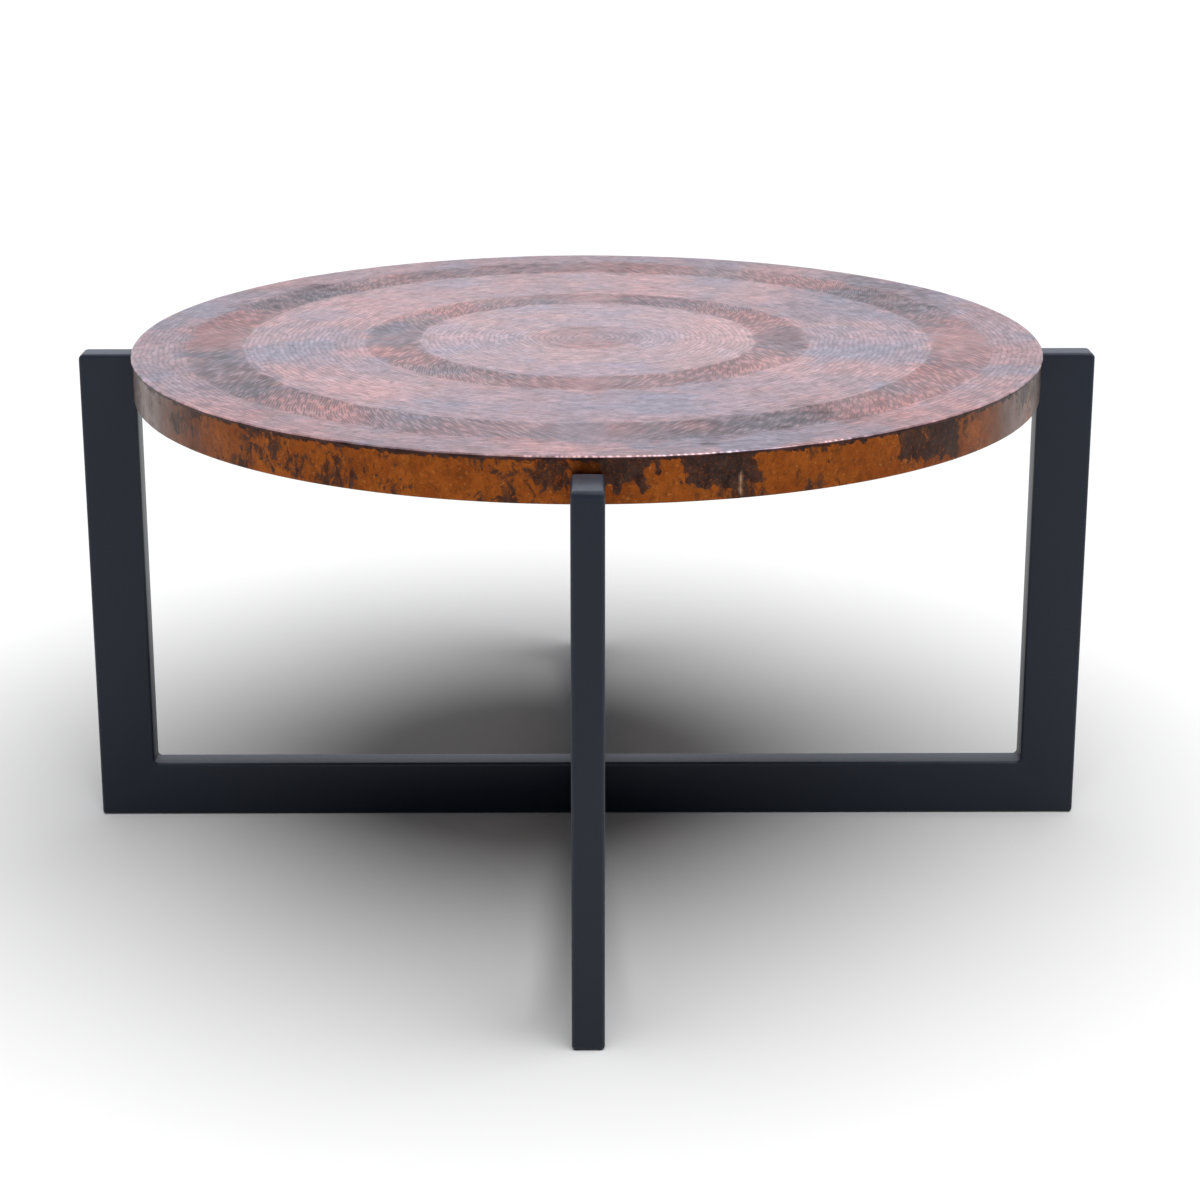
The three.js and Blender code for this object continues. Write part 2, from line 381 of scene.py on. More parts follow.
def u_outline(inset):
    """Outline of a U-shaped frame in its own plane, shrunk by `inset`, and how worn each point is."""
    inner = REACH - TUBE_WIDE
    corners = [
        (-REACH, 0, FOOT_RADIUS), (REACH, 0, FOOT_RADIUS),
        (REACH, UPRIGHT_TOP, OUTER_TOP_RADIUS), (inner, UPRIGHT_TOP, INNER_TOP_RADIUS),
        (inner, TUBE_WIDE, WELD_FILLET), (-inner, TUBE_WIDE, WELD_FILLET),
        (-inner, UPRIGHT_TOP, INNER_TOP_RADIUS), (-REACH, UPRIGHT_TOP, OUTER_TOP_RADIUS),
    ]
    points, wear = [], []
    for i, (x, z, radius) in enumerate(corners):
        before, after = Vector(corners[i - 1][:2]), Vector(corners[(i + 1) % len(corners)][:2])
        here = Vector((x, z))
        a, b = (here - before).normalized(), (after - here).normalized()
        convex = a.x * b.y - a.y * b.x > 0
        centre = here - a * radius + b * radius
        reach = radius - inset if convex else radius + inset
        for k in range(CORNER_STEPS + 1):
            turn = k / CORNER_STEPS * math.pi / 2
            points.append(centre + reach * (a * math.sin(turn) - b * math.cos(turn)))
            wear.append(CORNER_WEAR * math.sin(2 * turn) if convex else 0.0)
    return points, wear


def u_frame(across):
    """Closed U-shaped bar with rounded edges. `across` turns it into the Y direction.

    Wear is highest in the middle of each rounded edge, and nothing on the flat sides."""
    levels = []
    for k in range(EDGE_STEPS + 1):
        turn = k / EDGE_STEPS * math.pi / 2
        inset = EDGE_RADIUS * (1 - math.sin(turn))
        depth = EDGE_RADIUS * (1 - math.cos(turn)) - HALF_NARROW
        levels.append((inset, depth, math.sin(2 * turn)))
    levels += [(inset, -depth, wear) for inset, depth, wear in reversed(levels)]
    bm = bmesh.new()
    layer = bm.verts.layers.float.new("wear")
    rings = []
    for inset, depth, edge_wear in levels:
        outline, corner_wear = u_outline(inset)
        ring = []
        for (along, up), corner in zip(outline, corner_wear):
            where = (-depth, along, up) if across else (along, depth, up)
            vert = bm.verts.new(where)
            vert[layer] = max(edge_wear, corner if inset < EDGE_RADIUS / 2 else 0)
            ring.append(vert)
        rings.append(ring)
    for first, second in zip(rings, rings[1:]):
        for k in range(len(first)):
            n = (k + 1) % len(first)
            bm.faces.new((first[k], first[n], second[n], second[k]))
    bm.faces.new(rings[0][::-1])
    bm.faces.new(rings[-1])
    bmesh.ops.recalc_face_normals(bm, faces=bm.faces)
    return bm


def keep_side(bm, point, normal):
    """Cuts a bmesh at a plane, keeps what lies along `normal`, and closes the cut."""
    cut = bmesh.ops.bisect_plane(
        bm, geom=bm.verts[:] + bm.edges[:] + bm.faces[:], dist=1e-4,
        plane_co=point, plane_no=normal, clear_inner=True,
    )
    edges = [e for e in cut["geom_cut"] if isinstance(e, bmesh.types.BMEdge)]
    bmesh.ops.edgeloop_fill(bm, edges=edges)


def frame_piece(whole, name, planes):
    bm = whole.copy()
    for point, normal in planes:
        keep_side(bm, point, normal)
    bmesh.ops.recalc_face_normals(bm, faces=bm.faces)
    mesh = bpy.data.meshes.new(name)
    bm.to_mesh(mesh)
    bm.free()
    return finish_piece(mesh, name + "_shell", "base", STEEL, "frame_steel", name)


PLATE_EDGE_STEPS = 3
PLATE_CORNER_STEPS = 8


def rounded_plate(low, high, corner, edge):
    """Closed plate that fills a box, with round corners in plan and rounded upper and lower edges."""
    middle, half = (low + high) / 2, (high - low) / 2
    levels = []
    for k in range(PLATE_EDGE_STEPS + 1):
        turn = k / PLATE_EDGE_STEPS * math.pi / 2
        levels.append((edge * (1 - math.sin(turn)), edge * (1 - math.cos(turn)) - half[2]))
    levels += [(inset, -up) for inset, up in reversed(levels)]
    steps = PLATE_CORNER_STEPS
    points = []
    for inset, up in levels:
        for quarter, (sx, sy) in enumerate(((1, 1), (-1, 1), (-1, -1), (1, -1))):
            for k in range(steps + 1):
                turn = (quarter + k / steps) * math.pi / 2
                x = sx * (half[0] - corner) + (corner - inset) * math.cos(turn)
                y = sy * (half[1] - corner) + (corner - inset) * math.sin(turn)
                points.append((middle[0] + x, middle[1] + y, middle[2] + up))
    size = 4 * (steps + 1)
    faces = []
    for i in range(len(levels) - 1):
        faces += ring_faces(i * size, size, (i + 1) * size, size)
    faces.append(list(range(size))[::-1])
    faces.append([(len(levels) - 1) * size + k for k in range(size)])
    mesh = mesh_of(points, faces)
    face_outwards(mesh, merge=True)
    return mesh


def face_outwards(mesh, merge=False):
    """Turns every face outwards, and merges doubled points where that is wanted."""
    bm = bmesh.new()
    bm.from_mesh(mesh)
    if merge:
        bmesh.ops.remove_doubles(bm, verts=bm.verts, dist=1e-4)
    bmesh.ops.recalc_face_normals(bm, faces=bm.faces)
    bm.to_mesh(mesh)
    bm.free()


# Weld beads: radius at the crossing and at the tabs, step between ripples, sides of the bead's section,
# and how thin its ends are.
CROSSING_BEAD = 2.3
TAB_BEAD = 1.5
BEAD_STEP = 1.1
BEAD_SIDES = 10
BEAD_END = 0.35


def weld_bead(path, radius, name, seed):
    """Rippled weld bead laid along a path of points."""
    rng = np.random.default_rng(seed)
    sides = BEAD_SIDES
    path = [Vector(p) for p in path]
    points, faces = [], []
    across = None
    for i, p in enumerate(path):
        ahead = (path[min(i + 1, len(path) - 1)] - path[max(i - 1, 0)]).normalized()
        if across is None:
            across = ahead.orthogonal().normalized()
        else:
            across = (across - across.project(ahead)).normalized()
        up = ahead.cross(across)
        end = BEAD_END if i in (0, len(path) - 1) else 1.0
        swell = radius * end * (1 + 0.08 * math.sin(i * 1.9) + 0.04 * rng.uniform(-1, 1))
        for k in range(sides):
            turn = 2 * math.pi * k / sides
            points.append(p + swell * (across * math.cos(turn) + up * math.sin(turn)))
    for i in range(len(path) - 1):
        faces += ring_faces(i * sides, sides, (i + 1) * sides, sides)
    faces.append(list(range(sides))[::-1])
    faces.append([(len(path) - 1) * sides + k for k in range(sides)])
    mesh = mesh_of(points, faces)
    face_outwards(mesh, merge=True)
    return finish_piece(mesh, name, "base", STEEL, "frame_steel", sharp=60)


def turned_to(side, points):
    """Points given for the front side, turned round the middle to another side."""
    turn = math.radians({"front": 0, "right": 90, "rear": 180, "left": 270}[side])
    c, s = math.cos(turn), math.sin(turn)
    return [(c * x - s * y, s * x + c * y, z) for x, y, z in points]


STEEL = powder_coat()
RUBBER = rubber()


def build_base():
    through, crossing = u_frame(False), u_frame(True)
    up, down = Vector((0, 0, 1)), Vector((0, 0, -1))
    cap_point = Vector((0, 0, CAP_LEVEL))
    for side, out in (("left", (-1, 0)), ("right", (1, 0)), ("front", (0, -1)), ("rear", (0, 1))):
        whole = through if out[1] == 0 else crossing
        outward = Vector((*out, 0))
        foot = outward * REACH
        half = (Vector((0, 0, 0)), outward)
        mitre = (outward + up).normalized()
        frame_piece(whole, side + "_upright", [half, (foot, mitre), (cap_point, down)])
        frame_piece(whole, side + "_upright_cap", [half, (cap_point, up)])
        if whole is crossing:
            end = (outward * HALF_NARROW, outward)
            frame_piece(whole, side + "_floor_rail", [half, end, (foot, -mitre)])
    left, right = Vector((-REACH, 0, 0)), Vector((REACH, 0, 0))
    frame_piece(through, "through_floor_rail", [
        (left, (Vector((1, 0, 0)) + down).normalized()),
        (right, (Vector((-1, 0, 0)) + down).normalized()),
    ])
    through.free()
    crossing.free()


build_base()


def crossing_path():
    """Path of the front bead: up one flank of the front half rail, over its top and down the other."""
    near = -HALF_NARROW - 0.7
    flank = HALF_NARROW + 0.5
    over = TUBE_WIDE + 0.2
    foot = 3
    turn_radius = EDGE_RADIUS + 0.5
    turn_steps = 5
    path = []
    for k in range(int((TUBE_WIDE - turn_radius - 3) / BEAD_STEP)):
        path.append((-flank, near, foot + k * BEAD_STEP))
    for k in range(turn_steps + 1):
        turn = k / turn_steps * math.pi / 2
        x = -flank + turn_radius * (1 - math.cos(turn))
        path.append((x, near, over - turn_radius * (1 - math.sin(turn))))
    last = path[-1][0]
    many = round(-2 * last / BEAD_STEP)
    path += [(last - 2 * last * k / many, near, over) for k in range(1, many)]
    half = len(path) - many + 1
    # Near the top the bead sinks into the rounded edge of the through rail.
    sunk = []
    for x, y, z in path:
        share = smooth(TUBE_WIDE - 5, TUBE_WIDE, z)
        sunk.append((x, y + 1.8 * share, z - 0.9 * share))
    return sunk + [(-x, y, z) for x, y, z in reversed(sunk[:half])]


def build_welds():
    """Beads where the half rails meet the through rail, and along the support tabs."""
    path = crossing_path()
    for seed, side in enumerate(("front", "rear")):
        weld_bead(turned_to(side, path), CROSSING_BEAD, side + "_rail_weld", seed)
    low, high = mm_box("front_support_tab")
    reach = REACH - TUBE_WIDE - 0.6
    many = int((high[0] - low[0] - 4) / BEAD_STEP)
    for seed, side in enumerate(SIDES):
        for level, name in ((high[2] + 0.1, "upper"), (low[2] - 0.3, "lower")):
            line = [(low[0] + 2 + k * BEAD_STEP, -reach, level) for k in range(many)]
            weld_bead(turned_to(side, line), TAB_BEAD, f"{side}_tab_{name}_weld", 10 + seed)


TAB_CORNER = 3.0
TAB_EDGE = 0.8
PAD_EDGE = 0.9


def build_supports():
    for side in SIDES:
        tab = rounded_plate(*mm_box(side + "_support_tab"), TAB_CORNER, TAB_EDGE)
        finish_piece(tab, side + "_tab_plate", "base", STEEL, "frame_steel", side + "_support_tab")
        low, high = mm_box(side + "_support_pad")
        pad = rounded_plate(low, high, (high[0] - low[0]) / 2, PAD_EDGE)
        finish_piece(pad, side + "_pad_disc", "base", RUBBER, "pad_rubber", side + "_support_pad")


build_welds()
build_supports()


# ---------------- hammered sheet

# Zones of the hammered pattern, from the centre out: outer radius, how dark and how slate the copper
# is all over the zone, and whether its marks are crossing strokes and not rows of blows.
ZONES = [
    (48, 0.60, 0.00, False), (152, 0.00, 0.00, False), (199, 0.85, 0.00, True),
    (308, 0.34, 0.12, False), (359, 1.00, 0.00, True), (404.8, 0.68, 0.26, False),
]
# Rows of oval blows, and the stretches of a row that are lighter or darker.
ROW_PITCH = 4.6
BLOW_LENGTH = 9.4
BLOW_DEPTH = 0.19
STREAK_LENGTHS = (95.0, 52.0, 31.0)
# Crossing strokes. LEAN is how deep the two directions are on average, and LEAN_SWING how much deeper
# one of them is in each quarter of the ring.
STROKE_PITCH = 2.15
STROKE_LENGTH = 25
STROKE_DEPTH = 0.14
LEAN = 0.56
LEAN_SWING = 0.50
# Width over which the colour of one zone fades into the next, on each side of their edge.
FADE = 4.5
# The sheet's edge, the painted highlights beaded along its front-right rim, and the seam that its lip is
# notched for.
EDGE_ROUND = 1.6
SHEET_EDGE_STEPS = 5
HIGHLIGHT_PITCH = 5.2
SHEET_THICKNESS = 1.0
SEAM_BEARING = math.radians(-74.5)
FRONT = -math.pi / 2
# Spacing of the mesh: between rings, and along a ring with strokes or with rows.
RING_STEP = 1.15
STROKE_STEP = 0.76
ROW_STEP = 1.8
# Rings of the sheet's flat lower face: radius and number of points.
LOWER_RINGS = ((392, 512), (340, 256), (250, 128), (150, 64), (60, 32), (15, 12))

# Height that stands for metal which no blow has reached yet.
NO_MARK = 9.0

# Patina. For each ring between two radii: bearing from the front (+ is to the right), half width, and
# how rose, slate and sooty the copper is there.
PATCHES = {
    (308, 362): [
        (4, 27, 0, 0.75, 0.1), (24, 8, 0, 0.75, 0.45), (35, 4, 0, 0.1, 0.55),
        (57, 18, 0.75, 0, 0), (92, 14, 0.5, 0, 0.22), (120, 9, 0, 0.4, 0.45),
        (147, 17, 0.6, 0, 0.12), (172, 8, 0.25, 0, 0.35), (-172, 7, 0, 0.3, 0.45),
        (-152, 12, 0.45, 0, 0.25), (-125, 11, 0, 0.75, 0.55), (-112, 3, 0.7, 0, 0),
        (-98, 12, 0.35, 0, 0.22), (-65, 16, 0, 0.75, 0.3), (-39, 9, 0.6, 0, 0),
        (-20, 9, 0, 0.45, 0.1),
    ],
    (152, 201): [
        (0, 20, 0.1, 0.2, 0.2), (32, 12, 0.2, 0.1, 0.15), (60, 9, 0.9, 0, 0),
        (85, 15, 0, 0.5, 0.35), (120, 18, 0.45, 0, 0.15), (155, 14, 0.2, 0.4, 0.35),
        (-172, 9, 0.3, 0.2, 0.25), (-130, 8, 0.8, 0, 0), (-95, 15, 0, 0.7, 0.25),
        (-65, 8, 0.85, 0, 0), (-35, 15, 0.15, 0.2, 0.1),
    ],
    (205, 305): [
        (2, 20, 0, 0.7, 0.05), (26, 8, 0.1, 0.5, 0.05), (80, 20, 0, 0.65, 0.05),
        (120, 15, 0.1, 0.6, 0.25),
    ],
    (215, 300): [(48, 10, 0.1, 0.35, 0.05)],
    (205, 300): [
        (145, 15, 0.4, 0, 0), (172, 14, 0.3, 0.1, 0), (-150, 14, 0.3, 0, 0),
        (-115, 13, 0.75, 0, 0),
    ],
    (205, 270): [(-88, 9, 0.45, 0, 0)],
    (225, 305): [(-74, 8, 0, 0.75, 0.1)],
    (230, 305): [(-47, 12, 0.35, 0, 0)],
    (200, 240): [(-62, 10, 0.1, 0.5, 0)],
    (205, 260): [(-28, 8, 0, 0.4, 0)],
    (95, 152): [(0, 30, 0, 0.7, 0.05)],
    (60, 150): [(90, 45, 0.35, 0, 0), (-90, 35, 0, 0.4, 0)],
    (110, 152): [(-122, 14, 0.6, 0, 0)],
    (55, 110): [(170, 30, 0.25, 0, 0)],
    (100, 150): [(175, 18, 0, 0.35, 0)],
    (362, 402): [
        (22, 17, 0, 0.9, 0.05), (-3, 4, 0.45, 0, 0), (-20, 9, 0, 0.55, 0),
        (-45, 7, 0.45, 0, 0), (50, 7, 0.5, 0, 0), (66, 10, 0.8, 0, 0),
        (92, 9, 0.25, 0.2, 0.05), (-67, 10, 0, 0.6, 0), (-92, 9, 0.15, 0.5, 0.05),
        (-120, 22, 0, 0.6, 0.1), (-158, 12, 0.35, 0.2, 0), (126, 13, 0, 0.8, 0.45),
        (150, 10, 0.25, 0.1, 0.1), (175, 12, 0, 0.45, 0.05),
    ],
    (368, 382): [(14, 1.5, 0, 0.2, 0.8)],
}


def has_strokes(radius):
    for outer, _, _, crossed in ZONES:
        if radius < outer:
            return crossed
    return ZONES[-1][3]


def row_streaks(inner, pitch, rows, angle):
    """Gives how much lighter or darker each point is, once its row is known."""
    rng = np.random.default_rng(rows)
    middle = inner + (np.arange(rows) + 0.5) * pitch
    cycles = np.maximum(1, np.round(2 * math.pi * middle[:, None] / np.array(STREAK_LENGTHS)))
    phase = rng.uniform(0, 2 * math.pi, (rows, len(STREAK_LENGTHS)))
    level = rng.uniform(-0.15, 0.15, rows)

    def streak(row):
        waves = np.cos(cycles[row] * angle[:, None] + phase[row]).mean(1)
        return level[row] + 0.62 * waves

    return streak


def dimple_zone(radius, angle, inner, outer, rng):
    """Depth and tone of rows of small oval blows between two radii."""
    rows = max(1, round((outer - inner) / ROW_PITCH))
    pitch = (outer - inner) / rows
    depth = np.full(radius.shape, NO_MARK)
    tone = np.zeros(radius.shape)
    counts = []
    for row in range(rows):
        round_trip = 2 * math.pi * (inner + (row + 0.5) * pitch)
        counts.append(max(5, round(round_trip / (BLOW_LENGTH * rng.uniform(0.88, 1.14)))))
    most = max(counts)
    shift = rng.uniform(0, 1, rows)
    jitter = rng.uniform(-0.30, 0.30, (rows, most))
    lift = rng.uniform(-0.06, 0.06, (rows, most)) * pitch
    deep = rng.uniform(0.65, 1.10, (rows, most)) * BLOW_DEPTH
    shade = rng.uniform(0, 1, (rows, most))
    slant = rng.uniform(-0.16, 0.16, (rows, most))
    counts = np.array(counts)
    streak = row_streaks(inner, pitch, rows, angle)
    length, width = BLOW_LENGTH * 0.56, pitch * 0.53
    here = np.clip(np.floor((radius - inner) / pitch).astype(int), 0, rows - 1)
    for step in (-1, 0, 1):
        row = here + step
        good = (row >= 0) & (row < rows)
        row = np.clip(row, 0, rows - 1)
        many = counts[row]
        turn = (angle / (2 * math.pi)) % 1.0 * many + shift[row]
        near = np.floor(turn).astype(int)
        for side in (-1, 0, 1):
            cell = near + side
            index = cell % many
            middle = cell + 0.5 + jitter[row, index]
            along = (turn - middle) * 2 * math.pi * radius / many
            across = radius - (inner + (row + 0.5) * pitch + lift[row, index])
            across = across + slant[row, index] * along * 0.35
            spread = 0.42 * (along / length) ** 2 + (across / width) ** 2
            bowl = deep[row, index] * (spread - 1)
            better = good & (bowl < depth)
            depth = np.where(better, bowl, depth)
            tone = np.where(better, shade[row, index], tone)
    return depth, tone + streak(here)


def stroke_zone(radius, angle, inner, outer, rng):
    """Depth and tone of crossing slanted strokes between two radii."""
    middle = (inner + outer) / 2
    depth = np.full(radius.shape, NO_MARK)
    tone = np.zeros(radius.shape)
    pitch = STROKE_PITCH * math.sqrt(2)
    many = round(2 * math.pi * middle / pitch)
    segments = max(1, round((outer - inner) / STROKE_LENGTH))
    length = (outer - inner) / segments
    turn = (angle / (2 * math.pi)) % 1.0 * many
    run = radius - inner
    for sign in (-1, 1):
        lean = LEAN + sign * LEAN_SWING * np.tanh(2.6 * np.sin(2 * (angle - FRONT)))
        slide = turn + sign * run / pitch
        lane = np.floor(slide).astype(int)
        jitter = rng.uniform(-0.12, 0.12, (many, segments + 4))
        deep = rng.uniform(0.7, 1.1, (many, segments + 4)) * STROKE_DEPTH
        shade = rng.uniform(0, 1, (many, segments + 4))
        start = rng.uniform(0, 1, many)
        for side in (-1, 0, 1):
            line = lane + side
            index = line % many
            place = run / length + start[index]
            part = np.clip(np.floor(place).astype(int) + 1, 0, segments + 3)
            across = (slide - line - 0.5 - jitter[index, part]) * STROKE_PITCH * radius / middle
            along = (place % 1.0 - 0.5) * 2
            spread = (across / (STROKE_PITCH * 0.55)) ** 2 + np.abs(along) ** 4 * 0.9
            groove = deep[index, part] * lean * (spread - 1)
            better = groove < depth
            depth = np.where(better, groove, depth)
            tone = np.where(better, shade[index, part], tone)
    return depth, tone


def hammer(radius, angle):
    """Height of the hammered face, how light each mark is and how dark its zone is."""
    rng = np.random.default_rng(41)
    x, y = radius * np.cos(angle), radius * np.sin(angle)
    shifted = radius + 1.6 * Noise(5).fractal(x / 26, y / 26, 3)
    height = np.zeros(radius.shape)
    mark = np.zeros(radius.shape)
    dark = np.zeros(radius.shape)
    inner = 0.0
    for outer, darkness, _, crossed in ZONES:
        outermost = outer >= TOP_RADIUS - 1
        mask = (shifted >= inner) & ((shifted < outer) | outermost)
        fill = stroke_zone if crossed else dimple_zone
        depth, shade = fill(shifted[mask], angle[mask], inner, outer, rng)
        height[mask] = np.minimum(depth, 0.03)
        if crossed:
            groove, even = smooth(-0.13, -0.02, depth), 0.82
        else:
            groove, even = 1 - 0.75 * smooth(-0.10, 0.0, depth), 0.60
        mark[mask] = groove * (even + (1 - even) * shade)
        inside = smooth(inner - FADE, inner + FADE, shifted) if inner else 1.0
        outside = 1.0 if outermost else 1 - smooth(outer - FADE, outer + FADE, shifted)
        dark += darkness * inside * outside
        inner = outer
    faded = Noise(6).fractal(x / 55, y / 55, 3)
    return height, mark, np.clip(dark * (0.92 + 0.22 * faded), 0, 1)


def patina(radius, angle):
    """How rose, slate and sooty the copper is."""
    warp, ragged, grain = Noise(11), Noise(13), Noise(12)
    x, y = radius * np.cos(angle), radius * np.sin(angle)
    bend_r = radius + 16 * warp.fractal(x / 30, y / 30, 4)
    bearing = np.degrees(angle - FRONT)
    arc = np.degrees(24 * warp.fractal(x / 38 + 50, y / 38, 4) / np.maximum(radius, 60))
    frayed = 0.24 * ragged.fractal(x / 18, y / 18, 4, 0.6)
    out = np.zeros((len(radius), 3))
    for outer, _, slate, _ in ZONES[::-1]:
        out[radius < outer + 0.1, 1] = slate
    for (inner, outer), spots in PATCHES.items():
        within = smooth(inner - 11, inner + 9, bend_r) * (1 - smooth(outer - 9, outer + 11, bend_r))
        for middle, half, *amounts in spots:
            off = np.abs((bearing + arc - middle + 180) % 360 - 180)
            mask = (1 - smooth(half * 0.25, half * 1.45 + 4, off)) * within
            border = np.sqrt(np.clip(4 * mask * (1 - mask), 0, 1))
            mask = smooth(0.02, 0.98, mask + frayed * border)
            out = np.maximum(out, mask[:, None] * np.array(amounts))
    mottle = grain.fractal(x / 64, y / 64, 4)
    fine = grain.fractal(x / 11, y / 11, 3)
    out[:, 0] = np.clip(out[:, 0] * (1 + 0.5 * mottle) + 0.45 * smooth(0.15, 0.9, mottle), 0, 1)
    out[:, 1] = np.clip(out[:, 1] * (1 - 0.5 * mottle) + 0.45 * smooth(0.15, 0.9, -mottle), 0, 1)
    out[:, 2] = np.clip(out[:, 2] * (0.8 + 0.6 * fine), 0, 1)
    return out


def polar(radius, angle, level):
    return np.stack([radius * np.cos(angle), radius * np.sin(angle), level + 0 * angle], 1)


def from_seam(angle):
    """Bearing counted from the middle of the seam, in radians."""
    return (angle - SEAM_BEARING + math.pi) % (2 * math.pi) - math.pi


def sheet_rings():
    """Radius and bearings of the rings of points on the sheet's upper face."""
    coarse = 1
    radii = [0.8, 2.0, 3.4]
    start = radii[-1]
    for edge in (152, 199, 308, 359, TOP_RADIUS - EDGE_ROUND):
        many = max(1, round((edge - start) / (RING_STEP * coarse)))
        radii += [start + (edge - start) * (k + 1) / many for k in range(many)]
        start = edge
    rings = []
    for row, radius in enumerate(radii):
        width = (STROKE_STEP if has_strokes(radius) else ROW_STEP) * coarse
        # Four rings at a time have the same number of points.
        shared = radii[min(len(radii) - 1, row // 4 * 4 + 2)]
        count = max(8, int(2 * math.pi * shared / width / 2) * 2)
        angle = np.arange(count) / count * 2 * math.pi
        rings.append((np.full(count, radius), angle))
    return rings


def sheet_lip(angle, rim_height, beat, slow):
    """Radius and level of each ring of the rounded edge, the lip and the inside of the lip."""
    lip = []
    for k in range(1, SHEET_EDGE_STEPS + 1):
        turn = k / SHEET_EDGE_STEPS * math.pi / 2
        share = 1 - math.cos(turn)
        radius = TOP_RADIUS - EDGE_ROUND * (1 - math.sin(turn))
        level = TABLE_HEIGHT - EDGE_ROUND * share + rim_height * (1 - 0.7 * share)
        lip.append((radius + 0.30 * beat * share, level))
    notch = 1.44 * (1 - smooth(0.8, 2.2, np.abs(from_seam(angle)) * TOP_RADIUS))
    hem = LIP_BOTTOM + 0.35 + 0.30 * slow + 0.18 * beat + notch
    out_radius = TOP_RADIUS + 0.20 * beat
    below_round = TABLE_HEIGHT - EDGE_ROUND
    for share in (0.35, 0.7, 1.0):
        lip.append((out_radius - 0.15 * share, below_round + (hem + 0.35 - below_round) * share))
    lip.append((out_radius - 0.35, hem + 0.1))
    lip.append((out_radius - 0.65, hem))
    lip.append((TOP_RADIUS - SHEET_THICKNESS, hem + 0.25))
    lip.append((TOP_RADIUS - SHEET_THICKNESS, TABLE_HEIGHT - SHEET_THICKNESS))
    return lip


def build_sheet():
    wave = Noise(23)
    rings = sheet_rings()
    angle = rings[-1][1]
    outer = len(angle)
    all_radii = np.concatenate([radius for radius, _ in rings])
    all_angles = np.concatenate([bearings for _, bearings in rings])
    height, mark, dark = hammer(all_radii, all_angles)
    x, y = all_radii * np.cos(all_angles), all_radii * np.sin(all_angles)
    swell = 0.16 * wave.fractal(x / 70, y / 70, 3) - 0.2
    z = TABLE_HEIGHT + np.minimum(height + swell, 0.0)
    tint = patina(all_radii, all_angles)
    points = [np.stack([x, y, z], 1)]
    counts = [len(bearings) for _, bearings in rings]

    beat = wave.fractal(angle * TOP_RADIUS / 9, angle * 0 + 3.3, 3)
    slow = wave.fractal(angle * TOP_RADIUS / 42, angle * 0 + 9.1, 2)
    lip = sheet_lip(angle, z[-outer:] - TABLE_HEIGHT, beat, slow)
    for radius, level in lip:
        points.append(polar(radius, angle, level))
        counts.append(outer)
    for radius, count in LOWER_RINGS:
        under = np.arange(count) / count * 2 * math.pi
        points.append(polar(radius, under, TABLE_HEIGHT - SHEET_THICKNESS))
        counts.append(count)
    points = np.concatenate(points)
    starts = np.concatenate([[0], np.cumsum(counts)]).astype(int)
    faces = []
    for i in range(len(counts) - 1):
        faces += ring_faces(int(starts[i]), counts[i], int(starts[i + 1]), counts[i + 1])
    faces.append(list(range(counts[0]))[::-1])
    lowest = int(starts[-2])
    faces.append([lowest + k for k in range(counts[-1])])
    mesh = mesh_of(points, faces)
    face_outwards(mesh)

    def spread(values, fill):
        """Values of the upper face, then the rim's own for the lip, then a plain fill below."""
        rim = np.concatenate([values[-outer:]] * len(lip))
        rest = len(points) - len(values) - len(rim)
        return np.concatenate([values, rim, np.full((rest, *values.shape[1:]), fill)])

    darks_and_lip_shade, marks_and_glints, tints_and_lip_shade = spread(dark, 0.0), spread(mark, 0.5), spread(tint, 0.0)
    bearing = np.degrees((angle - FRONT + math.pi) % (2 * math.pi) - math.pi)
    # Painted highlights: bright beads on the rounded edge, along its front-right stretch, and a lighter
    # rounding all round.
    glint_sector = smooth(-14, 2, bearing) * (1 - smooth(50, 70, bearing))
    spots = np.sin(angle * TOP_RADIUS / HIGHLIGHT_PITCH * 2 * math.pi + 9 * slow)
    painted_glint = glint_sector * smooth(0.0, 0.9, spots) * smooth(-0.30, 0.45, slow + 0.7 * beat)
    for k in range(len(lip)):
        rows = slice(len(mark) + k * outer, len(mark) + (k + 1) * outer)
        if k < SHEET_EDGE_STEPS - 1:
            darks_and_lip_shade[rows] *= 0.4
            marks_and_glints[rows] = np.clip(0.7 + 0.5 * beat + 2.6 * painted_glint, 0.1, 2.4)
        else:
            # The lip's outer face and its inside get dark, sooty copper: partly its fired colour, partly
            # painted shade under the rounded edge.
            darks_and_lip_shade[rows] = 1.0
            marks_and_glints[rows] = 0.25 + 0.4 * beat
            tints_and_lip_shade[rows] = (0.2, 0.0, 0.97)
    float_attribute(mesh, "ring", darks_and_lip_shade)
    float_attribute(mesh, "mark", marks_and_glints)
    colour_attribute(mesh, "patina", tints_and_lip_shade)
    name, slot = "copper_top_sheet_hammered", "hammered_copper"
    finish_piece(mesh, name, "top", hammered_copper(), slot, "copper_top_sheet", sharp=60)


build_sheet()


# ---------------- edge band

BAND_THICKNESS = 0.8
BAND_FLANGE = 12.0
BAND_STEP = 1.8
BAND_ROWS = 20
BAND_FOOT_RADIUS = 1.3
BAND_FOOT_STEPS = 5
# The lap seam: half its width, how far it stands out, and where its columns of points are.
LAP_HALF = 7.0
LAP_STEP = 0.75
LAP_COLUMNS = (-0.45, -0.15, 0.15, 0.45)

